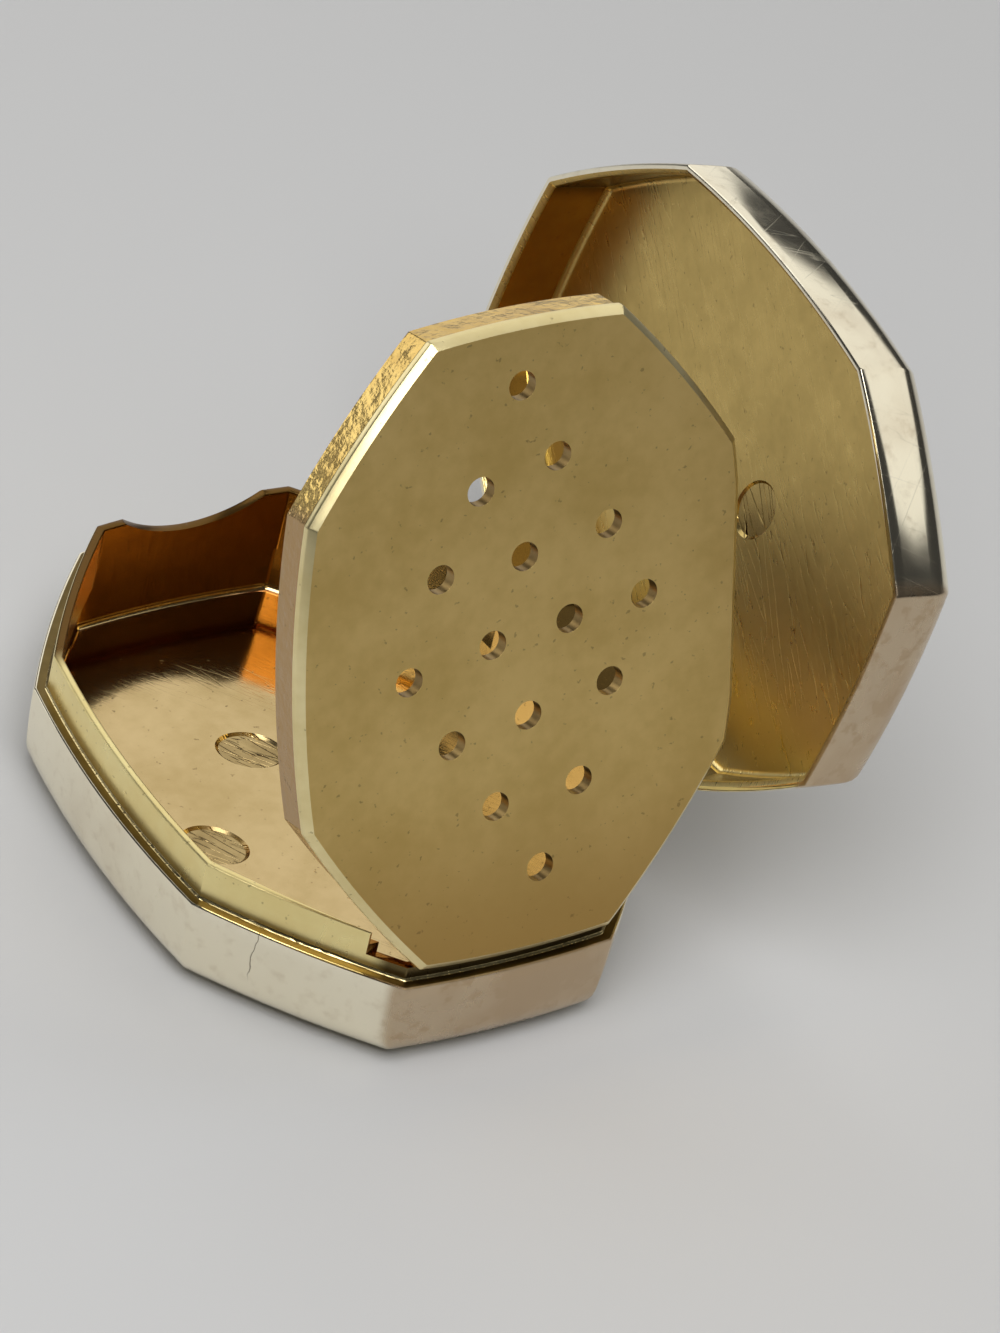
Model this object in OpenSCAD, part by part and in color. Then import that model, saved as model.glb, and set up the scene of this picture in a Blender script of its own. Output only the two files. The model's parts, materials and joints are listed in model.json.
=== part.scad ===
/* [Plan] */
// Length between the corners of the two short ends
plan_length = 30; // [26:0.5:40]
// Width between the corners of the two long sides
plan_width = 22.9; // [20:0.1:32]
// Cut of each corner, measured across the box
corner_x = 6.3; // [5:0.1:7.5]
// Cut of each corner, measured along the box
corner_y = 7.7; // [6:0.1:9]
// Radius of the gentle outward bow of every side
bow_r = 48; // [40:1:90]
// How far the flat hinge side stands out past its corners
hinge_flat = 0.3; // [0.1:0.05:0.4]

/* [Sheet] */
// Thickness of the base's wall strip
wall_t = 0.55; // [0.5:0.05:0.8]
// Thickness of the bottom plate and of the lid's top plate
plate_t = 0.5; // [0.45:0.05:0.8]
// Rounding of the outer edge of the bottom and of the top
edge_r = 1.5; // [1:0.1:1.5]
// Rounding of the inner corner between each plate and its wall
inner_r = 0.3; // [0.3:0.05:0.5]
// Straight rim that each plate is turned up to, past its rounding
turn_up = 0.3; // [0.1:0.05:0.6]
// Gap that solder fills between two pieces
solder_gap = 0.02; // [0.01:0.01:0.04]

/* [Base] */
// Height of the base up to its shoulder
base_h = 4.6; // [4:0.1:7]
// Thickness of the gilt bezel strip
bezel_t = 0.4; // [0.3:0.05:0.6]
// Height of the bezel above the shoulder
bezel_h = 1.9; // [1.7:0.1:2.2]
// How far the bezel reaches down inside the wall
bezel_drop = 1.45; // [0.8:0.05:2]
// Width of the thumb notch in the bezel's free end
notch_w = 7.2; // [4:0.1:9]
// Depth of the thumb notch
notch_d = 1.2; // [0.6:0.1:1.5]

/* [Lid] */
// Height of the lid from its rim to its top
lid_h = 3.9; // [3.6:0.1:6]
// Clearance between the lid's wall and the bezel
lid_clearance = 0.08; // [0.06:0.01:0.15]
// Gap between the lid's rim and the shoulder when shut
rim_gap = 0.05; // [0.02:0.01:0.1]
// Angle to which the lid stands open
lid_open = 102; // [90:1:110]

/* [Lid hinge] */
// Length of the row of knuckles
lid_hinge_l = 10; // [8:0.5:11]
// Outside radius of a knuckle
lid_knuckle_r = 0.45; // [0.4:0.05:0.5]
// How far the pin's axis lies outside the flat hinge side
lid_axis_out = 0.15; // [0.12:0.01:0.2]
// Radius of the hinge pin
lid_pin_r = 0.2; // [0.15:0.01:0.25]

/* [Grille] */
// Thickness of the pierced plate
grille_t = 0.6; // [0.4:0.05:0.7]
// Clearance between the plate and the bezel
grille_clearance = 0.13; // [0.1:0.01:0.2]
// How far the plate's hinge end lies inside the corners of the base
grille_end = 0.7; // [0.6:0.05:0.9]
// Outward turn of the plate's two corners beside the hinge, in degrees
grille_spread = 1.75; // [1:0.25:2]
// Depth of the strip soldered under the plate
flange_h = 1.6; // [0.6:0.1:2]
// Thickness of that strip
flange_t = 0.35; // [0.25:0.05:0.5]
// Step from the plate's edge in to the strip
flange_step = 0.12; // [0.08:0.01:0.2]
// Radius of a vapour hole
hole_r = 0.65; // [0.4:0.05:0.8]
// Number of holes along each row and each column
hole_rows = 4; // [2:1:4]
// Step along the plate from one row to the next
row_step_along = 3.4; // [2.8:0.1:3.7]
// Step across the plate from one row to the next
row_step_across = 2.2; // [1.8:0.05:2.4]
// Step along the plate from one column to the next
column_step_along = 3.95; // [3.2:0.05:4.1]
// Step across the plate from one column to the next
column_step_across = 1.7; // [1.4:0.05:2]
// How far the pattern's middle lies across from the middle of the box
pattern_across = 0.2; // [-0.5:0.05:0.5]
// How far the pattern's middle lies from the middle of the box, towards the free end
pattern_along = 0.15; // [-0.5:0.05:0.8]
// How far a hand-drilled hole may stray from its place
hole_stray = 0.2; // [0:0.05:0.3]
// Angle to which the grille stands open
grille_open = 71; // [60:1:80]

/* [Grille hinge] */
// Length of the row of knuckles
grille_hinge_l = 8; // [6:0.5:8.2]
// Outside radius of a knuckle
grille_knuckle_r = 0.4; // [0.3:0.05:0.42]
// How far the pin's axis lies inside the corners of the base
grille_axis_in = 0.7; // [0.6:0.05:0.8]
// Radius of the hinge pin
grille_pin_r = 0.18; // [0.12:0.01:0.2]
// How far below the pin's axis the bezel is cut down
hinge_cut_d = 0.15; // [0.1:0.01:0.2]
// Length of the bezel that is cut down beside the hinge
hinge_cut_l = 1.9; // [1.9:0.1:3]
// Outward turn of the bezel's filed inner faces beside the hinge, in degrees
relief_spread = 2.5; // [2.5:0.05:2.6]

/* [Hinge fits] */
// Radial clearance of a pin in its knuckles
pin_clearance = 0.03; // [0.02:0.01:0.05]
// Clearance between a knuckle and the groove or plate beside it
knuckle_clearance = 0.06; // [0.04:0.01:0.08]
// Gap between neighbouring knuckles
knuckle_gap = 0.06; // [0.04:0.01:0.1]
// Length of pin that shows past the end knuckles
pin_proud = 0.1; // [0.05:0.05:0.2]

/* [Hidden] */
bow_fn = 360;
round_fn = 64;
silver = "#cfcac0";
gilt = "#b8975a";

// Half sizes of the plan, and the arcs that bow its eight sides
half_l = plan_length / 2;
half_w = plan_width / 2;
end_half = half_w - corner_x;
side_half = half_l - corner_y;
cut_l = norm([corner_x, corner_y]);
cut_mid = [(end_half + half_w) / 2, (side_half + half_l) / 2];
cut_out = [corner_y, corner_x] / cut_l;
cut_centre = cut_mid - cut_out * arc_depth(cut_l / 2);
end_centre = half_l - arc_depth(end_half);
side_centre = half_w - arc_depth(side_half);
far_centres = [
    [0, end_centre], [side_centre, 0], [-side_centre, 0], cut_centre, [-cut_centre.x, cut_centre.y]
];
near_centres = [[0, -end_centre], -cut_centre, [cut_centre.x, -cut_centre.y]];
side_centres = concat(far_centres, near_centres);
hinge_face = half_w + hinge_flat;

// Levels and insets
dish_h = edge_r + turn_up;
bezel_out = wall_t + solder_gap;
bezel_in = bezel_out + bezel_t;
bezel_top = base_h + bezel_h;
lid_wall = bezel_out - lid_clearance;
lid_top_z = base_h + lid_h;
grille_inset = bezel_in + grille_clearance;
grille_under = bezel_top - grille_t;
flange_inset = grille_inset + flange_step;
notch_r = (notch_w * notch_w / 4 + notch_d * notch_d) / (2 * notch_d);

// Hinges, with every other knuckle on the piece that turns
lid_knuckles = 5;
grille_knuckles = 3;
lid_axis = [hinge_face + lid_axis_out, 0, base_h];
lid_pitch = lid_hinge_l / lid_knuckles;
lid_recess = lid_hinge_l / 2 + pin_proud + knuckle_gap;
grille_axis = [0, grille_axis_in - half_l, grille_under - grille_knuckle_r - knuckle_clearance];
grille_pitch = grille_hinge_l / grille_knuckles;
grille_recess = grille_hinge_l / 2 + pin_proud + knuckle_gap;
saddle_r = grille_knuckle_r + knuckle_clearance;
hinge_cut_z = grille_axis.z - hinge_cut_d;
relief_z = grille_under - knuckle_clearance;

// Turns per row and per column that make the holes stray each its own way
stray_across = [170, 95];
stray_along = [45, 185];

// Distance from the chord of a bowed side to the centre of its arc
function arc_depth(half_chord) = sqrt(bow_r * bow_r - half_chord * half_chord);

// Place of one vapour hole, in slanting rows and columns that wander a little
function hole_place(row, column) =
    let (r = row - (hole_rows - 1) / 2)
    let (c = column - (hole_rows - 1) / 2)
    [pattern_across, pattern_along]
    + [r * row_step_across - c * column_step_across, -r * row_step_along - c * column_step_along]
    + hole_stray * [cos(stray_across * [row, column]), cos(stray_along * [row, column])];

// One side's disc, set in from the outer face
module side_disc(centre, inset) {
    translate(centre)
        circle(r = bow_r - inset, $fn = bow_fn);
}

// Everything inside the flat hinge side
module hinge_half_plane(inset) {
    translate([-bow_r, -bow_r])
        square([bow_r + hinge_face - inset, 2 * bow_r]);
}

// The bowed octagon, set in from the outer face
module outline(inset) {
    intersection() {
        intersection_for (centre = side_centres)
            side_disc(centre, inset);
        hinge_half_plane(inset);
    }
}

// The octagon with its two hinge corners turned outwards and its hinge end set apart
module spread_outline(inset, spread, end_inset) {
    intersection() {
        intersection_for (centre = far_centres)
            side_disc(centre, inset);
        intersection_for (side = [-1, 1])
            translate([side * half_w, -side_half])
                rotate(side * spread)
                    translate([-side * half_w, side_half])
                        side_disc([side * cut_centre.x, -cut_centre.y], inset);
        side_disc([0, -end_centre], end_inset);
        hinge_half_plane(inset);
    }
}

// A ring between two insets
module ring(outer, inner, height) {
    linear_extrude(height)
        difference() {
            outline(outer);
            outline(inner);
        }
}

// Half section of a disc with a rounded lower edge
module rim_section(reach, edge, height) {
    square([reach - edge, height]);
    translate([0, edge])
        square([reach, height - edge]);
    translate([reach - edge, edge])
        circle(r = edge, $fn = round_fn);
}

// The octagon as a solid with a rounded lower edge
module cushion(inset, edge, height) {
    intersection() {
        intersection_for (centre = side_centres)
            translate(centre)
                rotate_extrude($fn = bow_fn)
                    rim_section(bow_r - inset, edge, height);
        translate([-bow_r, bow_r, 0])
            rotate([90, 0, 0])
                linear_extrude(2 * bow_r)
                    rim_section(bow_r + hinge_face - inset, edge, height);
    }
}

// A plate dished up all round to meet a wall strip
module dish(wall) {
    difference() {
        cushion(0, edge_r, dish_h);
        translate([0, 0, plate_t])
            cushion(wall, inner_r, dish_h);
    }
}

// A drum along Y on the lid's axis, between two places along it
module lid_axis_drum(r, from, to) {
    translate([lid_axis.x, to, lid_axis.z])
        rotate([90, 0, 0])
            cylinder(r = r, h = to - from, $fn = round_fn);
}

// A drum along X on the grille's axis, between two places along it
module grille_axis_drum(r, from, to) {
    translate([from, grille_axis.y, grille_axis.z])
        rotate([0, 90, 0])
            cylinder(r = r, h = to - from, $fn = round_fn);
}

// The groove filed in both walls for the lid's knuckles
module lid_groove() {
    lid_axis_drum(lid_knuckle_r + knuckle_clearance, -lid_recess, lid_recess);
}

// One knuckle of the lid's hinge, counted from the front
module lid_knuckle(index) {
    from = -lid_hinge_l / 2 + index * lid_pitch + knuckle_gap / 2;
    to = from + lid_pitch - knuckle_gap;
    difference() {
        lid_axis_drum(lid_knuckle_r, from, to);
        lid_axis_drum(lid_pin_r + pin_clearance, from - knuckle_gap, to + knuckle_gap);
    }
}

// One knuckle of the grille's hinge, counted from the left
module grille_hinge_knuckle(index) {
    from = -grille_hinge_l / 2 + index * grille_pitch + knuckle_gap / 2;
    to = from + grille_pitch - knuckle_gap;
    difference() {
        grille_axis_drum(grille_knuckle_r, from, to);
        grille_axis_drum(grille_pin_r + pin_clearance, from - knuckle_gap, to + knuckle_gap);
    }
}

// Turns the shut lid to where it stands open
module lid_stands() {
    translate(lid_axis)
        rotate([0, lid_open, 0])
            translate(-lid_axis)
                children();
}

// Turns the shut grille to where it stands open
module grille_stands() {
    translate(grille_axis)
        rotate([grille_open, 0, 0])
            translate(-grille_axis)
                children();
}

// The thumb notch, a round scoop through the bezel's free end
module thumb_notch() {
    translate([0, half_l, bezel_top + notch_r - notch_d])
        rotate([90, 0, 0])
            cylinder(r = notch_r, h = half_l, $fn = bow_fn);
}

// What is cut and filed from the bezel so that the grille can swing
module grille_swing_room() {
    translate([-half_w, -plan_length, hinge_cut_z])
        cube([plan_width, half_l + hinge_cut_l, bezel_top]);
    translate([0, 0, relief_z])
        linear_extrude(bezel_top)
            intersection() {
                spread_outline(bezel_in, relief_spread, 0);
                translate([-plan_width, -plan_length])
                    square([2 * plan_width, plan_length - side_half]);
            }
    grille_axis_drum(saddle_r, -grille_recess, grille_recess);
}

module base_bottom() {
    color(silver)
        dish(wall_t);
}

module base_band() {
    color(silver)
        difference() {
            translate([0, 0, dish_h])
                ring(0, wall_t, base_h - dish_h);
            lid_groove();
        }
}

module bezel() {
    color(gilt)
        difference() {
            translate([0, 0, base_h - bezel_drop])
                ring(bezel_out, bezel_in, bezel_drop + bezel_h);
            thumb_notch();
            grille_swing_room();
        }
}

module lid_hinge_knuckle_front() {
    color(silver)
        lid_knuckle(0);
}

module lid_hinge_knuckle_middle() {
    color(silver)
        lid_knuckle(2);
}

module lid_hinge_knuckle_rear() {
    color(silver)
        lid_knuckle(4);
}

module lid_hinge_pin() {
    color(silver)
        lid_axis_drum(lid_pin_r, -lid_hinge_l / 2 - pin_proud, lid_hinge_l / 2 + pin_proud);
}

module grille_hinge_knuckle_left() {
    color(gilt)
        grille_hinge_knuckle(0);
}

module grille_hinge_knuckle_right() {
    color(gilt)
        grille_hinge_knuckle(2);
}

module grille_hinge_pin() {
    color(gilt)
        grille_axis_drum(grille_pin_r, -grille_hinge_l / 2 - pin_proud, grille_hinge_l / 2 + pin_proud);
}

module lid_band() {
    color(silver)
        lid_stands()
            difference() {
                translate([0, 0, base_h + rim_gap])
                    ring(0, lid_wall, lid_h - rim_gap - dish_h);
                lid_groove();
            }
}

module lid_top() {
    color(silver)
        lid_stands()
            translate([0, 0, lid_top_z])
                mirror([0, 0, 1])
                    dish(lid_wall);
}

module lid_knuckle_front() {
    color(silver)
        lid_stands()
            lid_knuckle(1);
}

module lid_knuckle_rear() {
    color(silver)
        lid_stands()
            lid_knuckle(3);
}

module grille_plate() {
    color(gilt)
        grille_stands()
            translate([0, 0, grille_under])
                linear_extrude(grille_t)
                    difference() {
                        spread_outline(grille_inset, grille_spread, grille_end);
                        for (row = [0 : hole_rows - 1], column = [0 : hole_rows - 1])
                            translate(hole_place(row, column))
                                circle(r = hole_r, $fn = round_fn);
                    }
}

module grille_flange() {
    color(gilt)
        grille_stands()
            difference() {
                translate([0, 0, grille_under - flange_h])
                    ring(flange_inset, flange_inset + flange_t, flange_h);
                translate([-grille_recess, -half_l, 0])
                    cube([2 * grille_recess, flange_inset + 2 * flange_t, bezel_top]);
            }
}

module grille_knuckle() {
    color(gilt)
        grille_stands()
            grille_hinge_knuckle(1);
}

base_bottom();
base_band();
bezel();
lid_hinge_knuckle_front();
lid_hinge_knuckle_middle();
lid_hinge_knuckle_rear();
lid_hinge_pin();
grille_hinge_knuckle_left();
grille_hinge_knuckle_right();
grille_hinge_pin();
lid_band();
lid_top();
lid_knuckle_front();
lid_knuckle_rear();
grille_plate();
grille_flange();
grille_knuckle();
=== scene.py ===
import json
import math

import bpy
from mathutils import Matrix, Vector

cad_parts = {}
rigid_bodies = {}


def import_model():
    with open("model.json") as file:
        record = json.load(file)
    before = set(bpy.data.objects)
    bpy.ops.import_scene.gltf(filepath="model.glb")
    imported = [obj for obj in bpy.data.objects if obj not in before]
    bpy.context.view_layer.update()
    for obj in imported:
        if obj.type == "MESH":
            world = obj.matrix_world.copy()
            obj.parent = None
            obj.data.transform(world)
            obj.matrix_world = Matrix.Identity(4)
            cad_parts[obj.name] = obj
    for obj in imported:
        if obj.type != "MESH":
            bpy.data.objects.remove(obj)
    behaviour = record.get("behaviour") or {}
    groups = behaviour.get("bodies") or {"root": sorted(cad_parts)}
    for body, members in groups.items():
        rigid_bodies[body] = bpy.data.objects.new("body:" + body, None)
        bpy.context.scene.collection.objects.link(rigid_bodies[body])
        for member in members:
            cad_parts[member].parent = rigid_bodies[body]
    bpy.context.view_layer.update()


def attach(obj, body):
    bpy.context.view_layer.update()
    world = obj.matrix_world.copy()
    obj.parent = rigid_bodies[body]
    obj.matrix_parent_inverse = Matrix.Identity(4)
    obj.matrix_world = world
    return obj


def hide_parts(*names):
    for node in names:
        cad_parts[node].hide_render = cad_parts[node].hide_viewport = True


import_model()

# Base bottom
# The plate that the box stands on: sheet silver dished up all round to a rounded edge, with bowed
# sides and a flat one where the lid hinges. Its upper face is gilded and shows two worn, blank oval
# punch marks. The wall strip is soldered flush on its rim.
plan_length, plan_width = 30.0, 22.9
corner_x, corner_y = 6.3, 7.7
bow_r = 48.0
hinge_flat = 0.3
wall_t, plate_t = 0.55, 0.5
edge_r, inner_r, dish_h = 1.5, 0.3, 1.8
outer_corner_r, inner_corner_r = 0.3, 0.14

half_l, half_w = plan_length / 2, plan_width / 2
end_half, side_half = half_w - corner_x, half_l - corner_y
hinge_face = half_w + hinge_flat
side_steps, corner_steps, rounding_steps = 14, 4, 7
hair = 0.0002
across_box, along_box = 0, 1


class Wire:
    """A socket of a material's nodes, reckoned with like a number."""

    def __init__(self, tree, socket):
        self.tree = tree
        self.socket = socket

    def node(self, kind, settings=None, sockets=None, output=0):
        """Adds a node, sets it up, feeds its sockets and gives one of its outputs."""
        made = self.tree.nodes.new(kind)
        for name, value in (settings or {}).items():
            setattr(made, name, value)
        for name, value in (sockets or {}).items():
            if isinstance(value, Wire):
                self.tree.links.new(value.socket, made.inputs[name])
            else:
                made.inputs[name].default_value = value
        return Wire(self.tree, made.outputs[output])

    def maths(self, operation, first, second):
        return self.node("ShaderNodeMath", {"operation": operation}, {0: first, 1: second})

    def __add__(self, other):
        return self.maths("ADD", self, other)

    def __radd__(self, other):
        return self.maths("ADD", other, self)

    def __sub__(self, other):
        return self.maths("SUBTRACT", self, other)

    def __rsub__(self, other):
        return self.maths("SUBTRACT", other, self)

    def __mul__(self, other):
        return self.maths("MULTIPLY", self, other)

    def __rmul__(self, other):
        return self.maths("MULTIPLY", other, self)

    def part(self, axis):
        """One number of a place: 0 across the box, 1 along it and 2 up."""
        return self.node("ShaderNodeSeparateXYZ", None, {0: self}, output=axis)

    def distance_from(self, value):
        return self.node("ShaderNodeMath", {"operation": "ABSOLUTE"}, {0: self - value})

    def ramp(self, low, high):
        """0 below low and 1 above high, with an easy slope between. Low may be the higher one."""
        sockets = {"Value": self, "From Min": low, "From Max": high}
        return self.node("ShaderNodeMapRange", {"interpolation_type": "SMOOTHSTEP"}, sockets)

    def blend(self, first, second):
        """The first colour where this is 0 and the second where it is 1."""
        colours = [c if isinstance(c, Wire) else (*c, 1.0) for c in (first, second)]
        sockets = {0: self, 6: colours[0], 7: colours[1]}
        return self.node("ShaderNodeMix", {"data_type": "RGBA"}, sockets, output=2)

    def noise(self, size, detail=2.0, stretch=(1, 1, 1), turn=0.0):
        """Cloudy noise with clouds of about that size, in mm, drawn out and turned about Z."""
        sockets = {"Vector": self, "Rotation": (0, 0, math.radians(turn))}
        turned = self.node("ShaderNodeMapping", None, sockets)
        drawn = self.node("ShaderNodeMapping", None, {"Vector": turned, "Scale": [1 / s for s in stretch]})
        return self.node("ShaderNodeTexNoise", None, {"Vector": drawn, "Scale": 1 / size, "Detail": detail})

    def scratches(self, size, length, turn, width):
        """Hairlines that run along one direction: 1 on a line and 0 beside it."""
        clouds = self.noise(size, 1.0, (length, 1, length), turn)
        return clouds.distance_from(0.5).ramp(width, 0.0)


def start_finish(name, turned_back=None):
    """A new metal and the place on the piece in mm, turned back to where the piece is when shut."""
    material = bpy.data.materials.new(name)
    material.use_nodes = True
    tree = material.node_tree
    shader = tree.nodes["Principled BSDF"]
    shader.inputs["Metallic"].default_value = 1.0
    place = Wire(tree, tree.nodes.new("ShaderNodeTexCoord").outputs["Object"])
    place = place.node("ShaderNodeVectorMath", {"operation": "SCALE"}, {0: place, "Scale": 1000.0})
    if turned_back:
        kind, centre, angle = turned_back
        sockets = {"Vector": place, "Center": centre, "Angle": math.radians(angle)}
        place = place.node("ShaderNodeVectorRotate", {"rotation_type": kind}, sockets)
    return material, shader, place


def end_finish(material, shader, colour, roughness, relief):
    """Feeds the metal's colour and roughness, and its relief in hundredths of a mm."""
    hundredth = 0.00001
    normal = relief.node("ShaderNodeBump", None, {"Height": relief, "Distance": hundredth, "Strength": 1.0})
    tree = material.node_tree
    tree.links.new(colour.socket, shader.inputs["Base Color"])
    tree.links.new(roughness.socket, shader.inputs["Roughness"])
    tree.links.new(normal.socket, shader.inputs["Normal"])
    return material


def silver(name):
    """Old polished silver: wavy from the hammer, scratched by use, tarnished in patches, and
    closed by a hairline seam near one corner. The end walls at the grille's hinge end are darker and
    browner: partly tarnish and partly a painted reflection of the shaded paper in front of them."""
    clean, tarnish_and_shade_colour, seam_dirt = (0.96, 0.89, 0.70), (0.52, 0.39, 0.25), (0.12, 0.09, 0.06)
    end_wall, end_face = -14.3, -14.75
    seam_across, seam_along, seam_place = 0.633, 0.774, 1.83
    material, shader, place = start_finish(name)
    across, along, rise = (place.part(axis) for axis in range(3))
    tarnish_and_end_shade = place.noise(5.0, 3.0).ramp(0.45, 0.8) * 0.3 + place.noise(0.7, 3.0).ramp(0.5, 0.8) * 0.25
    # Painted shade: past y = -14.3 mm the end walls turn browner and darker, partly as tarnish and partly
    # as a painted reflection of the shaded paper in front.
    tarnish_and_end_shade = tarnish_and_end_shade + along.ramp(end_wall, end_face) * 0.85
    hairlines = place.scratches(1.2, 14.0, 12, 0.006) + place.scratches(1.6, 10.0, -40, 0.006)
    past_seam = across * seam_across - along * seam_along + place.noise(1.0) * 0.5
    seam = past_seam.distance_from(seam_place).ramp(0.03, 0.01)
    seam = seam * across.ramp(-1.0, -2.0) * rise.ramp(1.7, 2.6)
    colour = tarnish_and_end_shade.blend(clean, tarnish_and_shade_colour)
    colour = (seam * 0.7).blend(colour, seam_dirt)
    roughness = 0.06 + place.noise(3.0) * 0.08 + tarnish_and_end_shade * 0.2 + hairlines * 0.1
    relief = place.noise(4.5, 1.0) * 5.0 + place.noise(1.3) * 0.1 - seam * 2.0
    return end_finish(material, shader, colour, roughness, relief)


def gilding(name, bright, worn, rough, turned_back=None, brushed=0.05, stain_and_painted_light=None, lumpy=0.0, slope=0.0):
    """Satin gilding: mottled, finely pitted, and brushed by cleaning. A far colour (axis, centre, start,
    full, colour) takes over far from a place on one axis: painted shade on the bezel, the lid's walls
    and the grille, a painted highlight on the lid and on the base's long inner walls, the metal's own
    colour on the flange, and a darker rim at the bezel's free end. Lumps are what solder leaves, and
    a slope rises to the free end."""
    pit_dirt = (0.16, 0.10, 0.04)
    material, shader, place = start_finish(name, turned_back)
    mottle = place.noise(5.0, 4.0) * 0.7 + place.noise(0.7, 3.0) * 0.3
    grain = place.noise(0.2, 2.0)
    pits = place.noise(0.3, 2.0).ramp(0.69, 0.75)
    brushing = place.scratches(0.4, 12.0, 50, 0.03) + place.scratches(0.6, 9.0, 62, 0.03)
    colour = mottle.ramp(0.3, 0.72).blend(bright, worn)
    if stain_and_painted_light:
        axis, centre, start, full, far_colour = stain_and_painted_light
        colour = place.part(axis).distance_from(centre).ramp(start, full).blend(colour, far_colour)
    colour = (pits * 0.4).blend(colour, pit_dirt)
    roughness = rough + mottle * 0.10 - brushing * brushed * 0.2
    relief = grain * 0.12 + place.noise(3.5) * 0.9 - pits * 0.3 - brushing * brushed
    if lumpy:
        relief = relief + place.noise(0.6, 3.0) * lumpy
    if slope:
        relief = relief + place.part(along_box) * slope
    return end_finish(material, shader, colour, roughness, relief)


def bowed_sides(inset):
    """The eight bowed sides as arcs (centre, radius), from the hinge side round by the free end."""
    arcs = []
    for x, y in ((1, 0), (1, 1), (0, 1), (-1, 1), (-1, 0), (-1, -1), (0, -1), (1, -1)):
        middle = Vector((x * half_w, y * half_l))
        outward = Vector((x, y))
        half_chord = side_half if x else end_half
        if x and y:
            middle = Vector((x * (end_half + half_w), y * (side_half + half_l))) / 2
            outward = Vector((x * corner_y, y * corner_x)).normalized()
            half_chord = math.hypot(corner_x, corner_y) / 2
        arcs.append((middle - outward * math.sqrt(bow_r**2 - half_chord**2), bow_r - inset))
    return arcs


def crossing(first, second, corner_r):
    """Where a round of that radius sits in the corner between two sides' arcs."""
    gap = second[0] - first[0]
    r, s = first[1] - corner_r, second[1] - corner_r
    along = (r * r - s * s + gap.length_squared) / (2 * gap.length)
    foot = first[0] + gap.normalized() * along
    across = Vector((-gap.y, gap.x)).normalized() * math.sqrt(r * r - along * along)
    return min(foot + across, foot - across, key=lambda point: point.length)


def draw_outline(arcs, corner_r, z):
    """Draws an outline in edit mode: an arc along each side, a small one round each corner."""
    corners = [crossing(one, two, corner_r) for one, two in zip(arcs, arcs[1:] + arcs[:1])]
    hinge_centre, hinge_r = arcs[0]
    flat = hinge_face - bow_r + hinge_r
    flat_half = math.sqrt(hinge_r**2 - (flat - hinge_centre.x) ** 2)
    turns = []
    for (centre, r), corner, (next_centre, next_r) in zip(arcs, corners, arcs[1:] + arcs[:1]):
        turns.append((centre, centre + (corner - centre).normalized() * r, side_steps))
        turns.append((corner, next_centre + (corner - next_centre).normalized() * next_r, corner_steps))
    turns.append((hinge_centre, Vector((flat, -flat_half)), side_steps))
    point = Vector((flat, flat_half))
    bpy.ops.mesh.select_all(action="DESELECT")
    bpy.ops.mesh.primitive_plane_add(size=0.1, location=(*point, z))
    bpy.ops.mesh.merge(type="CENTER")
    for centre, stop, steps in turns:
        angle = (point - centre).angle_signed(stop - centre)
        bpy.ops.mesh.spin(steps=steps, angle=angle, center=(*centre, z), axis=(0, 0, 1))
        point = stop
    bpy.ops.mesh.extrude_region_move(TRANSFORM_OT_translate={"value": (0, 2 * flat_half, 0)})
    bpy.ops.mesh.select_linked()
    bpy.ops.mesh.remove_doubles(threshold=0.001)


def start_piece(name, *finishes):
    """An empty mesh in edit mode, with its metals."""
    bpy.ops.object.select_all(action="DESELECT")
    bpy.ops.mesh.primitive_plane_add(size=0.1)
    piece = bpy.context.object
    piece.name = piece.data.name = name
    for finish in finishes:
        piece.data.materials.append(finish)
    bpy.ops.object.mode_set(mode="EDIT")
    bpy.ops.mesh.select_mode(type="VERT")
    bpy.ops.mesh.delete(type="VERT")
    return piece


def raise_piece(name, levels, finishes, corner_r, sides=bowed_sides, closed=False):
    """Raises a piece through outlines (inset, height, metal), each bridged to the next. No two lie
    in one plane, where a bridge would twist."""
    piece = start_piece(name, *finishes)
    for k, (inset, z, _) in enumerate(levels):
        draw_outline(sides(inset), corner_r, z + k * hair)
        bpy.ops.object.vertex_group_assign_new()
    count = len(levels)
    pairs = [(k, (k + 1) % count) for k in range(count if closed else count - 1)]
    for bands in pairs if closed else [*pairs, (0,), (count - 1,)]:
        bpy.ops.mesh.select_all(action="DESELECT")
        for k in bands:
            piece.vertex_groups.active_index = k
            bpy.ops.object.vertex_group_select()
        if len(bands) == 2:
            bpy.ops.mesh.bridge_edge_loops()
        else:
            bpy.ops.mesh.edge_face_add()
        piece.active_material_index = levels[bands[0]][2]
        bpy.ops.object.material_slot_assign()
    bpy.ops.object.vertex_group_remove(all=True)
    bpy.ops.mesh.select_all(action="SELECT")
    bpy.ops.mesh.normals_make_consistent(inside=False)
    bpy.ops.object.mode_set(mode="OBJECT")
    return piece


def cut_away(piece, tool, metal):
    """Cuts a tool's shape out of a piece, and leaves the cut faces in that metal."""
    tool.data.materials.append(metal)
    cut = piece.modifiers.new("cut", "BOOLEAN")
    cut.operation = "DIFFERENCE"
    cut.solver = "EXACT"
    cut.material_mode = "TRANSFER"
    cut.object = tool
    bpy.context.view_layer.objects.active = piece
    bpy.ops.object.modifier_apply(modifier=cut.name)
    bpy.data.objects.remove(tool)


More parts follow.
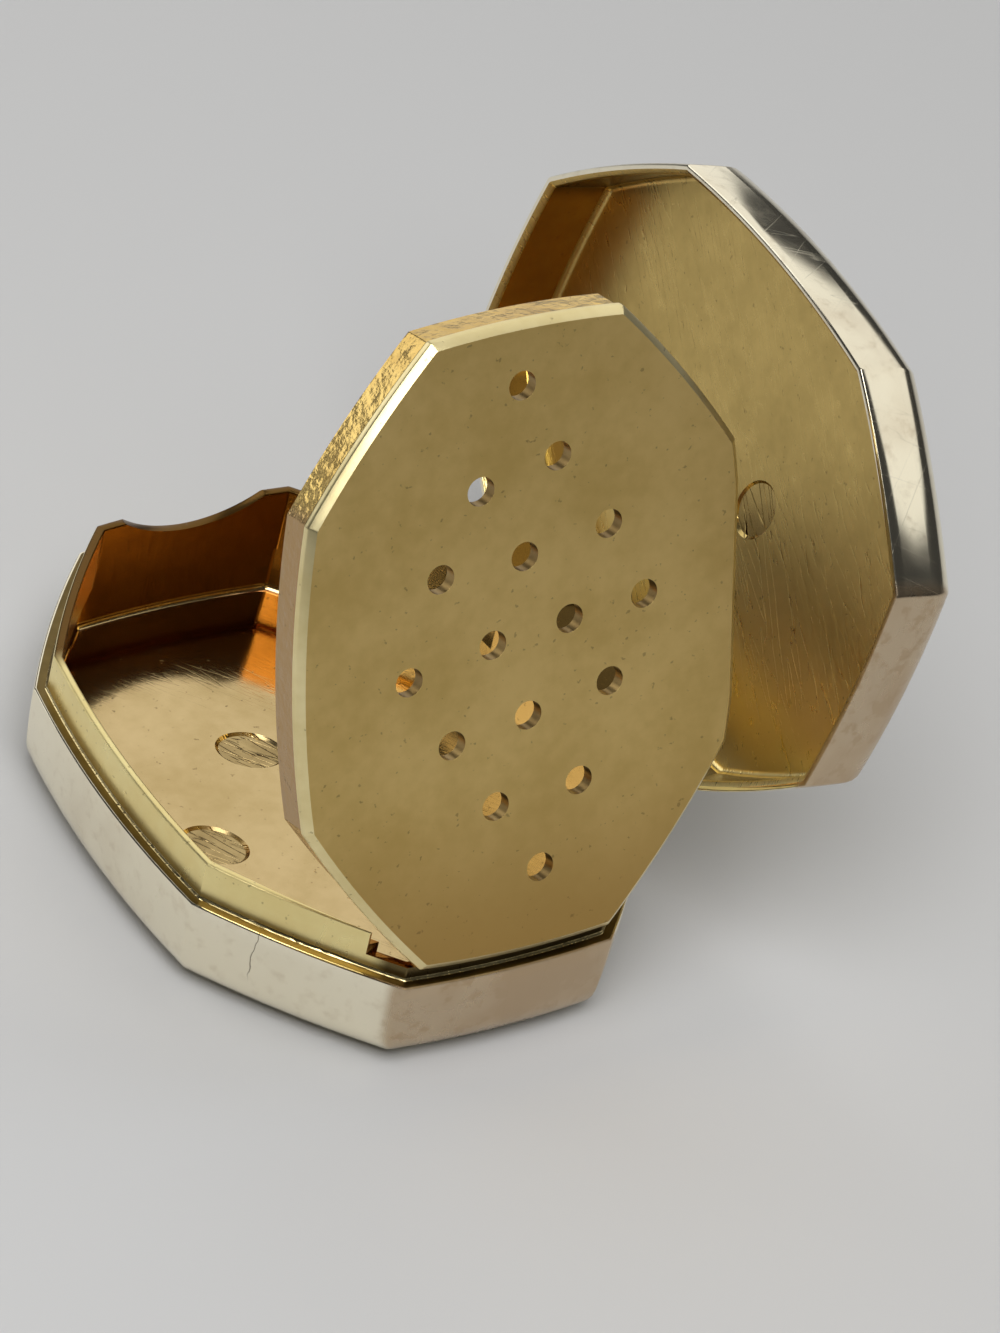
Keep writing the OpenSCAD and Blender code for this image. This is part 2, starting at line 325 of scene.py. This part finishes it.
def set_in_place(piece, node, body, turn=Matrix.Identity(4)):
    """Turns a piece to where it stands, brings it from mm to metres and gives it to the frame."""
    mm, crease = 0.001, math.radians(35)
    bpy.ops.object.select_all(action="DESELECT")
    piece.select_set(True)
    bpy.context.view_layer.objects.active = piece
    piece.matrix_world = Matrix.Scale(mm, 4) @ turn
    bpy.ops.object.transform_apply(location=True, rotation=True, scale=True)
    bpy.ops.object.shade_smooth_by_angle(angle=crease)
    level = piece.modifiers.new("level", "WEIGHTED_NORMAL")
    level.keep_sharp = True
    bpy.ops.object.modifier_apply(modifier=level.name)
    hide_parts(node)
    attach(piece, body)


def drawn_in(depth):
    """How far a wall has drawn in at that depth from its open rim."""
    draw = 0.016
    return draw * depth**2


def dish_levels(wall, depth):
    """Outlines of a dished plate: up its rounded edge, over its rim and down inside to its floor."""
    turns = [k * math.pi / 2 / rounding_steps for k in range(rounding_steps + 1)]
    outside = [(edge_r * (1 - math.sin(t)), edge_r * (1 - math.cos(t)), 0) for t in turns]
    outside = [(inset + drawn_in(depth - z), z, metal) for inset, z, metal in [*outside, (0, dish_h, 0)]]
    inside = [
        (wall + inner_r * (1 - math.sin(t)), plate_t + inner_r * (1 - math.cos(t)), 1)
        for t in reversed(turns)
    ]
    return [*outside, (wall, dish_h, 2), *inside]


def punch_oval(piece, place, turn, metal, floor_z, downwards=1):
    """Sinks a shallow, blank oval with sloping sides in a floor."""
    half_long, half_wide, sunk = 1.6, 1.2, 0.12
    bottom_share, mouth_share = 0.88, 1.08
    bpy.ops.mesh.primitive_cone_add(
        vertices=64, radius1=bottom_share, radius2=mouth_share, depth=2 * sunk, location=(*place, floor_z)
    )
    oval = bpy.context.object
    oval.scale = (half_long, half_wide, downwards)
    oval.rotation_euler.z = math.radians(turn)
    cut_away(piece, oval, metal)


base_h = 4.6
outer_silver = silver("worn_silver")
floor_gilding = gilding(
    "pale_gilding", bright=(0.70, 0.53, 0.27), worn=(0.57, 0.42, 0.19), rough=0.06, brushed=0.06, slope=4.0
)
# Painted shade: the gilding inside the base's walls, inside the bezel and on cut faces at the hinge end is
# painted dark red-brown for the shade and dim reflections there. Past 9.5 mm across, on the long inner
# walls, it is painted pale gold instead: a painted reflection that the grille's lower holes show.
wall_gilding_painted_shade = gilding(
    "wall_gilding_painted_shade", bright=(0.38, 0.165, 0.028), worn=(0.25, 0.10, 0.014), rough=0.14,
    stain_and_painted_light=(across_box, 0, 5.5, 9.5, (0.80, 0.62, 0.32)),
)
bottom_plate = raise_piece(
    "bottom_plate", dish_levels(wall_t, base_h), [outer_silver, floor_gilding, wall_gilding_painted_shade], outer_corner_r
)
struck_gilding = gilding(
    "struck_gilding", bright=(0.60, 0.45, 0.21), worn=(0.34, 0.24, 0.10), rough=0.2, brushed=1.0
)
for place, turn in (((-5.75, -0.39), -45), ((-1.2, 4.75), -30)):
    punch_oval(bottom_plate, place, turn, struck_gilding, plate_t)
set_in_place(bottom_plate, "base_bottom", "base")

# Base band
# The wall of the base: one strip of silver bent round at its corners and closed by a soldered seam,
# gilded inside. The shoulder on top of it carries the shut lid. A groove is filed for the hinge.
arris, arris_bend = 0.12, 0.3
wall_heights = (dish_h, 2.5, 3.2, 3.9)
fillet_foot, fillet_bend, fillet_top = 0.48, 0.52, 0.56
fillet_bend_rise, fillet_rise, joint_drop = 0.03, 0.12, 0.1
lid_axis_out = 0.15
lid_axis = Vector((hinge_face + lid_axis_out, 0, base_h))
groove_r, groove_half = 0.51, 5.16


def hinge_groove():
    """The round groove for the lid's knuckles, as a tool to cut with."""
    bpy.ops.mesh.primitive_cylinder_add(
        vertices=64, radius=groove_r, depth=2 * groove_half, location=lid_axis, rotation=(math.pi / 2, 0, 0)
    )
    return bpy.context.object


# Painted shade: the shoulder ledge is painted near black-brown for the shade between the wall's top and the
# bezel.
shoulder_gilding_painted_shade = gilding(
    "shoulder_gilding_painted_shade", bright=(0.22, 0.155, 0.055), worn=(0.11, 0.075, 0.025), rough=0.26
)
solder = gilding("gilt_solder", bright=(0.86, 0.72, 0.38), worn=(0.62, 0.47, 0.20), rough=0.2, brushed=0.6)
base_wall = raise_piece(
    "base_wall",
    [
        *((drawn_in(base_h - z), z, 0) for z in wall_heights),
        (0, base_h - arris, 0), (arris_bend * arris, base_h - arris_bend * arris, 0), (arris, base_h, 1),
        (fillet_foot, base_h, 2), (fillet_bend, base_h + fillet_bend_rise, 2),
        (fillet_top, base_h + fillet_rise, 3), (wall_t, base_h - joint_drop, 3), (wall_t, dish_h, 3),
    ],
    [outer_silver, shoulder_gilding_painted_shade, solder, wall_gilding_painted_shade],
    outer_corner_r,
    closed=True,
)
cut_away(base_wall, hinge_groove(), outer_silver)
set_in_place(base_wall, "base_band", "base")

# Bezel
# A gilt strip that lines the wall and stands up above the shoulder, so that the lid fits over it.
# A thumb notch is scooped from its free end, where the rim is darker. Its hinge end is cut down
# and filed for the grille.
bezel_drop, bezel_rise = 1.45, 1.9
bezel_foot, bezel_top = base_h - bezel_drop, base_h + bezel_rise
bezel_out, bezel_in = 0.57, 0.97
bezel_arris, bezel_softening = 0.1, 0.04
overshoot = 1.0
notch_r, notch_d = 6.0, 1.2
grille_axis = Vector((0, -14.3, 5.44))
saddle_r, saddle_half = 0.46, 4.16
hinge_cut_z, hinge_cut_y = 5.29, -13.1
relief_z, relief_spread = 5.84, 2.5


def spread_sides(inset, spread, end_inset):
    """The eight sides with the two beside the grille's hinge turned outwards."""
    arcs = bowed_sides(inset)
    for k, side in ((5, -1), (7, 1)):
        corner = Vector((side * half_w, -side_half))
        turn = Matrix.Rotation(math.radians(side * spread), 2)
        arcs[k] = (corner + turn @ (arcs[k][0] - corner), arcs[k][1])
    arcs[6] = (arcs[6][0], bow_r - end_inset)
    return arcs


def soften(piece, width, steps=2, sharpest=40):
    """Takes the sharpness off the edges that the tools left."""
    bevel = piece.modifiers.new("soften", "BEVEL")
    bevel.width = width
    bevel.segments = steps
    bevel.limit_method = "ANGLE"
    bevel.angle_limit = math.radians(sharpest)
    bpy.context.view_layer.objects.active = piece
    bpy.ops.object.modifier_apply(modifier=bevel.name)


bezel_bright, bezel_worn, bezel_rough = (1.0, 0.86, 0.42), (0.92, 0.75, 0.33), 0.24
# Painted shade: the bezel metal turns near black-brown past 13.2 mm towards the grille's hinge end, for the
# grille's shade there.
bright_gilding = gilding(
    "bezel_gilding", bezel_bright, bezel_worn, bezel_rough,
    stain_and_painted_light=(along_box, half_l, 28.2, 28.9, (0.15, 0.11, 0.045)),
)
# The rim turns dark brown towards the free end, past y = 6 mm, and round the thumb notch.
rim_gilding = gilding(
    "rim_gilding", bezel_bright, bezel_worn, bezel_rough,
    stain_and_painted_light=(along_box, -half_l, 21.0, 22.5, (0.16, 0.085, 0.022)),
)
bezel_bend = arris_bend * bezel_arris
bezel = raise_piece(
    "bezel_strip",
    [
        (bezel_out, bezel_foot, 0), (bezel_out, bezel_top - bezel_arris, 0),
        (bezel_out + bezel_bend, bezel_top - bezel_bend, 2),
        (bezel_out + bezel_arris, bezel_top, 2), (bezel_in - bezel_arris, bezel_top, 2),
        (bezel_in - bezel_bend, bezel_top - bezel_bend, 2),
        (bezel_in, bezel_top - bezel_arris, 1), (bezel_in, bezel_foot, 1),
    ],
    [bright_gilding, wall_gilding_painted_shade, rim_gilding],
    inner_corner_r,
    closed=True,
)
bpy.ops.mesh.primitive_cylinder_add(
    vertices=256, radius=notch_r, depth=half_l, rotation=(math.pi / 2, 0, 0),
    location=(0, half_l / 2 + overshoot, bezel_top + notch_r - notch_d),
)
cut_away(bezel, bpy.context.object, rim_gilding)
# The cuts at the hinge end leave their faces in the wall metal, so they carry its painted shade.
bpy.ops.mesh.primitive_cube_add(size=1, location=(0, hinge_cut_y - half_l / 2, hinge_cut_z + half_l / 2))
bpy.context.object.scale = (plan_width, half_l, half_l)
cut_away(bezel, bpy.context.object, wall_gilding_painted_shade)
bpy.ops.mesh.primitive_cylinder_add(
    vertices=64, radius=saddle_r, depth=2 * saddle_half, location=grille_axis, rotation=(0, math.pi / 2, 0)
)
cut_away(bezel, bpy.context.object, wall_gilding_painted_shade)
relief = raise_piece(
    "relief_file",
    [(bezel_in, relief_z, 0), (bezel_in, bezel_top + overshoot, 0)],
    [wall_gilding_painted_shade],
    inner_corner_r,
    sides=lambda inset: spread_sides(inset, relief_spread, 0),
)
bpy.ops.object.mode_set(mode="EDIT")
bpy.ops.mesh.select_all(action="SELECT")
bpy.ops.mesh.bisect(plane_co=(0, -side_half, 0), plane_no=(0, 1, 0), use_fill=True, clear_outer=True)
bpy.ops.mesh.select_all(action="SELECT")
bpy.ops.mesh.normals_make_consistent(inside=False)
bpy.ops.object.mode_set(mode="OBJECT")
cut_away(bezel, relief, wall_gilding_painted_shade)
soften(bezel, bezel_softening)
set_in_place(bezel, "bezel", "base")

# Hinges of the base
# Drawn silver tubes soldered in the groove of the wall, and gilt ones on the cut-down end of the
# bezel, with a wire through each row.
lid_pin_r, lid_bore_r, lid_knuckle_r = 0.2, 0.23, 0.45
lid_tubes, lid_pitch, lid_pin_half = 5, 2.0, 5.1
grille_pin_r, grille_bore_r, grille_knuckle_r = 0.18, 0.21, 0.4
grille_tubes, grille_pitch, grille_pin_half = 3, 8 / 3, 4.1
knuckle_gap = 0.06
along_y = Matrix.Rotation(-math.pi / 2, 4, "X")
along_x = Matrix.Rotation(math.pi / 2, 4, "Y")


def select_ends(piece):
    """Selects the end faces of a rod or tube in edit mode."""
    bpy.ops.mesh.select_mode(type="FACE")
    bpy.ops.mesh.select_all(action="DESELECT")
    bpy.ops.object.mode_set(mode="OBJECT")
    for face in piece.data.polygons:
        face.select = abs(face.normal.z) > 0.9
    bpy.ops.object.mode_set(mode="EDIT")


def turn_rod(name, metal, r, length, bore_r=None):
    """A rod along Z with softened ends, drilled through if it has a bore."""
    softening = 0.05
    bpy.ops.object.select_all(action="DESELECT")
    bpy.ops.mesh.primitive_cylinder_add(vertices=48, radius=r, depth=length)
    rod = bpy.context.object
    rod.name = rod.data.name = name
    rod.data.materials.append(metal)
    bpy.ops.object.mode_set(mode="EDIT")
    if bore_r:
        select_ends(rod)
        bpy.ops.mesh.inset(thickness=r - bore_r)
        bpy.ops.mesh.bridge_edge_loops()
    select_ends(rod)
    bpy.ops.mesh.region_to_loop()
    bpy.ops.mesh.bevel(offset=softening, segments=3, affect="EDGES")
    bpy.ops.mesh.select_all(action="SELECT")
    bpy.ops.mesh.normals_make_consistent(inside=False)
    bpy.ops.object.mode_set(mode="OBJECT")
    return rod


def knuckle(name, metal, index, pitch, count, r, bore_r, axis, direction):
    """One tube of a hinge, counted along its axis, with where it stands when shut."""
    tube = turn_rod(name, metal, r, pitch - knuckle_gap, bore_r)
    middle = Vector((0, 0, (index - (count - 1) / 2) * pitch))
    return tube, Matrix.Translation(axis) @ direction @ Matrix.Translation(middle)


for index, place in ((0, "front"), (2, "middle"), (4, "rear")):
    tube, stand = knuckle(
        f"wall_tube_{place}", outer_silver, index, lid_pitch, lid_tubes,
        lid_knuckle_r, lid_bore_r, lid_axis, along_y,
    )
    set_in_place(tube, f"lid_hinge_knuckle_{place}", "base", stand)
lid_wire = turn_rod("lid_wire", outer_silver, lid_pin_r, 2 * lid_pin_half)
set_in_place(lid_wire, "lid_hinge_pin", "base", Matrix.Translation(lid_axis) @ along_y)

# The gilt tubes and their wire stand at the hinge end, so they take the bezel metal's painted shade and
# render near black-brown.
for index, place in ((0, "left"), (2, "right")):
    tube, stand = knuckle(
        f"bezel_tube_{place}", bright_gilding, index, grille_pitch, grille_tubes,
        grille_knuckle_r, grille_bore_r, grille_axis, along_x,
    )
    set_in_place(tube, f"grille_hinge_knuckle_{place}", "base", stand)
grille_wire = turn_rod("grille_wire", bright_gilding, grille_pin_r, 2 * grille_pin_half)
set_in_place(grille_wire, "grille_hinge_pin", "base", Matrix.Translation(grille_axis) @ along_x)

# Lid band
# The wall of the lid, a silver strip like that of the base but lower, that slips over the bezel. It
# stands open 102 degrees on its hinge and is gilded inside.
lid_open = 102.0
lid_wall_t = 0.49
lid_top_z, rim_z = 8.5, 4.65
lid_wall_heights = (lid_top_z - dish_h, 6.2, 5.7, 5.2)
rim_face, lead_in, lead_rise, gilt_rise = 0.24, 0.06, 0.16, 0.25


def turned_about(axis, degrees, letter):
    """The turn of a piece about its hinge."""
    turn = Matrix.Rotation(math.radians(degrees), 4, letter)
    return Matrix.Translation(axis) @ turn @ Matrix.Translation(-axis)


lid_turn = turned_about(lid_axis, lid_open, "Y")
lid_turned_back = ("Y_AXIS", lid_axis, -lid_open)
# Painted highlight: the lid's gilding turns pale bright gold towards the hinge side, from about 1 to 6.5 mm
# past the middle, for the brushed highlights low on the open lid.
lid_gilding = gilding(
    "lid_gilding", (0.70, 0.51, 0.18), (0.54, 0.39, 0.13), 0.27, lid_turned_back, brushed=0.24,
    stain_and_painted_light=(across_box, -half_w, 12.5, 18.0, (1.0, 0.80, 0.34)),
)
# Painted shade: the lid's inner walls are painted dark orange-brown for the shade and dim reflections
# inside the lid, and its two long walls near black, for what the grille's upper holes show of them.
lid_wall_gilding_painted_shade = gilding(
    "lid_wall_gilding_painted_shade", (0.62, 0.36, 0.08), (0.46, 0.24, 0.045), 0.2, lid_turned_back,
    stain_and_painted_light=(across_box, 0, 4.0, 5.4, (0.06, 0.038, 0.013)),
)
lid_wall = raise_piece(
    "lid_wall",
    [
        *((drawn_in(z - rim_z), z, 0) for z in lid_wall_heights),
        (0, rim_z + arris, 0), (arris_bend * arris, rim_z + arris_bend * arris, 0), (arris, rim_z, 0),
        (rim_face, rim_z, 1), (lid_wall_t - lead_in, rim_z + lead_rise, 1),
        (lid_wall_t, rim_z + gilt_rise, 2), (lid_wall_t, lid_top_z - dish_h, 2),
    ],
    [outer_silver, lid_gilding, lid_wall_gilding_painted_shade],
    outer_corner_r,
    closed=True,
)
cut_away(lid_wall, hinge_groove(), outer_silver)
set_in_place(lid_wall, "lid_band", "lid", lid_turn)

# Lid top
# The lid's plate, dished like the bottom to a rounded edge and soldered to the lid's wall, gilded
# inside.
lid_plate = raise_piece(
    "lid_plate",
    [(inset, lid_top_z - z, metal) for inset, z, metal in dish_levels(lid_wall_t, lid_top_z - rim_z)],
    [outer_silver, lid_gilding, lid_wall_gilding_painted_shade],
    outer_corner_r,
)
lid_struck = gilding(
    "lid_struck", (0.66, 0.49, 0.18), (0.34, 0.23, 0.08), 0.2, lid_turned_back, brushed=1.0
)
punch_oval(lid_plate, (0.33, -2.04), 20, lid_struck, lid_top_z - plate_t, downwards=-1)
set_in_place(lid_plate, "lid_top", "lid", lid_turn)

# Lid knuckles
# Two silver tubes soldered to the lid's wall, between those of the base.
for index, place in ((1, "front"), (3, "rear")):
    tube, stand = knuckle(
        f"lid_tube_{place}", outer_silver, index, lid_pitch, lid_tubes,
        lid_knuckle_r, lid_bore_r, lid_axis, along_y,
    )
    set_in_place(tube, f"lid_knuckle_{place}", "lid", lid_turn @ stand)

# Grille plate
# The gilt plate over the compartment, with sixteen holes drilled by hand in slanting rows to let the
# vapour out. It stands open 71 degrees on its hinge.
grille_open = 71.0
grille_t, grille_bevel = 0.6, 0.32
grille_inset, grille_end, grille_spread = 1.1, 0.7, 1.75
grille_under = bezel_top - grille_t
grille_corner_r, grille_arris, face_margin = 0.2, 0.04, 0.02
rub_drop = 0.8 * grille_bevel
hole_r, hole_rows, hole_stray, hole_depth = 0.65, 4, 0.2, 2.0
hole_middle = Vector((0.2, 0.15))
row_step, column_step = Vector((2.2, -3.4)), Vector((-1.7, -3.95))
row_waver, column_waver = (170, 45), (95, 185)
grille_turn = turned_about(grille_axis, grille_open, "X")
grille_turned_back = ("X_AXIS", grille_axis, -grille_open)
# Painted shade: the grille's gilding darkens towards its hinge end, from 5 mm below the middle, for the
# shade and dim reflections low on the open grille.
grille_gilding = gilding(
    "grille_gilding", (0.86, 0.62, 0.235), (0.70, 0.49, 0.16), 0.34, grille_turned_back, brushed=0,
    stain_and_painted_light=(along_box, half_l, 20.0, 30.0, (0.54, 0.34, 0.105)),
)
edge_gilding = gilding(
    "rubbed_gilding", (0.95, 0.82, 0.46), (0.80, 0.66, 0.32), 0.26, grille_turned_back, brushed=0
)
grille_plate = raise_piece(
    "pierced_plate",
    [
        (grille_bevel + face_margin, bezel_top, 0), (grille_bevel, bezel_top, 1),
        (grille_arris, bezel_top - rub_drop, 1), (0, bezel_top - grille_bevel, 1),
        (0, grille_under + grille_arris, 0), (grille_arris, grille_under, 0),
    ],
    [grille_gilding, edge_gilding],
    grille_corner_r,
    sides=lambda inset: spread_sides(grille_inset + inset, grille_spread, grille_end + inset),
)
# Painted shade: the walls of the holes are painted dark brown for the shade inside them.
hole_gilding_painted_shade = gilding("hole_gilding_painted_shade", bright=(0.40, 0.27, 0.10), worn=(0.22, 0.14, 0.05), rough=0.3)
for row in range(hole_rows):
    for column in range(hole_rows):
        middle = (hole_rows - 1) / 2
        hole = hole_middle + (row - middle) * row_step + (column - middle) * column_step
        wavers = (r * row + c * column for r, c in zip(row_waver, column_waver))
        hole += hole_stray * Vector([math.cos(math.radians(waver)) for waver in wavers])
        bpy.ops.mesh.primitive_cylinder_add(
            vertices=40, radius=hole_r, depth=hole_depth, location=(*hole, bezel_top)
        )
        cut_away(grille_plate, bpy.context.object, hole_gilding_painted_shade)
soften(grille_plate, grille_arris, steps=1, sharpest=60)
set_in_place(grille_plate, "grille_plate", "grille", grille_turn)

# Grille flange
# A strip bent round and soldered under the plate, left rough from the solder. It keeps the grille in
# place inside the bezel and stops short of the hinge.
flange_inset, flange_t, flange_h = 1.22, 0.35, 1.6
flange_arris, flange_joint = 0.06, 0.15
hinge_gap_y, hinge_gap_depth = flange_inset + 2 * flange_t - half_l, 2.0
# Painted highlight: the flange is gold towards the grille's free end, between about 7 and 14 mm; the
# pinkish brown elsewhere is the strip's own colour.
flange_gilding = gilding(
    "flange_gilding", (0.95, 0.68, 0.23), (0.70, 0.46, 0.14), 0.18, grille_turned_back, brushed=0.1,
    stain_and_painted_light=(along_box, 10.7, 3.0, 4.0, (0.50, 0.33, 0.16)), lumpy=10.0,
)
# The flange's top band under the plate takes the dark shoulder metal: a dark band along the joint, partly a
# solder line and partly painted contact shade.
grille_flange = raise_piece(
    "grille_rim",
    [
        (flange_inset, grille_under, 1), (flange_inset, grille_under - flange_joint, 0),
        (flange_inset, grille_under - flange_h + flange_arris, 0),
        (flange_inset + flange_arris, grille_under - flange_h, 0),
        (flange_inset + flange_t - flange_arris, grille_under - flange_h, 0),
        (flange_inset + flange_t, grille_under - flange_h + flange_arris, 0),
        (flange_inset + flange_t, grille_under, 0),
    ],
    [flange_gilding, shoulder_gilding_painted_shade],
    inner_corner_r,
    closed=True,
)
bpy.ops.mesh.primitive_cube_add(
    size=1, location=(0, hinge_gap_y - hinge_gap_depth / 2, bezel_foot + hinge_gap_depth)
)
bpy.context.object.scale = (2 * saddle_half, hinge_gap_depth, 2 * half_l)
cut_away(grille_flange, bpy.context.object, flange_gilding)
set_in_place(grille_flange, "grille_flange", "grille", grille_turn)

# Grille knuckle
# The gilt tube under the end of the plate, on the same wire as the two on the bezel.
# The knuckle sits at the hinge end, so it takes the grille metal's painted shade.
tube, stand = knuckle(
    "grille_tube", grille_gilding, 1, grille_pitch, grille_tubes,
    grille_knuckle_r, grille_bore_r, grille_axis, along_x,
)
set_in_place(tube, "grille_knuckle", "grille", grille_turn @ stand)

# Paper, light and camera
# The box stands on pale paper under a large soft lamp, with a smaller one behind it on the left and
# daylight from the right. The camera looks down on it over the grille's hinge.
paper_grey, backdrop_grey, dim = (0.60, 0.60, 0.60), (0.55, 0.55, 0.55), (0.04, 0.04, 0.04)
daylight_white = (0.87, 0.86, 0.83)
window_edge, sill_edge = (0.645, 0.69), (0.27, 0.33)
near_drop, left_edge, left_rise = 0.287, 0.95, 4
bpy.ops.object.select_all(action="DESELECT")
bpy.ops.mesh.primitive_plane_add(size=6)
paper = bpy.context.object
paper.name = "paper"
paper_look = bpy.data.materials.new("pale_paper")
paper_look.use_nodes = True
paper_shader = paper_look.node_tree.nodes["Principled BSDF"]
paper_shader.inputs["Roughness"].default_value = 0.9
paper_shader.inputs["Base Color"].default_value = (*paper_grey, 1)
paper.data.materials.append(paper_look)

world = bpy.data.worlds.new("room")
bpy.context.scene.world = world
world.use_nodes = True
room = world.node_tree
sky = Wire(room, room.nodes.new("ShaderNodeTexCoord").outputs["Generated"])
window_way = Vector((0.80, 0.42, 0.42)).normalized()
facing = sky.node(
    "ShaderNodeVectorMath", {"operation": "DOT_PRODUCT"}, {0: sky, 1: window_way}, output="Value"
)
east, north, height = (sky.part(axis) for axis in range(3))
past_left = sky.maths("MAXIMUM", north - left_edge * east, 0)
sill = height + sky.maths("MINIMUM", north, 0) * near_drop + past_left * left_rise
daylight = (facing.ramp(*window_edge) * sill.ramp(*sill_edge)).blend(dim, daylight_white)
seen = sky.node("ShaderNodeLightPath")
room.links.new(seen.blend(daylight, backdrop_grey).socket, room.nodes["Background"].inputs["Color"])


def soft_lamp(name, place, aim, size, watts):
    """A square soft lamp at a place, in metres, facing a point."""
    bpy.ops.object.light_add(type="AREA", location=place)
    lamp = bpy.context.object
    lamp.name = name
    lamp.rotation_euler = (Vector(aim) - Vector(place)).to_track_quat("-Z", "Y").to_euler()
    lamp.data.size = size
    lamp.data.energy = watts


box_middle = (0, 0, 0.01)
soft_lamp("softbox", (-0.10, -0.14, 0.37), box_middle, size=0.33, watts=1.4)
soft_lamp("back_lamp", (-0.15, 0.24, 0.16), box_middle, size=0.22, watts=0.18)

azimuth, elevation, roll = (math.radians(a) for a in (-38.503, 38.72, 13.844))
shift_right, shift_down, distance = -0.00683, 0.003004, 0.391219
lens = 243.06
pivot = Vector((0, 0, 0.005))
back = Vector((
    math.sin(azimuth) * math.cos(elevation), -math.cos(azimuth) * math.cos(elevation), math.sin(elevation)
))
level_right = Vector((0, 0, 1)).cross(back).normalized()
level_down = level_right.cross(back)
right = level_right * math.cos(roll) - level_down * math.sin(roll)
down = level_right * math.sin(roll) + level_down * math.cos(roll)
bpy.ops.object.camera_add(location=pivot - shift_right * right - shift_down * down + distance * back)
camera = bpy.context.object
camera.rotation_euler = Matrix((right, -down, back)).transposed().to_euler()
camera.data.lens = lens
bpy.context.scene.camera = camera
bpy.context.scene.view_settings.view_transform = "Standard"
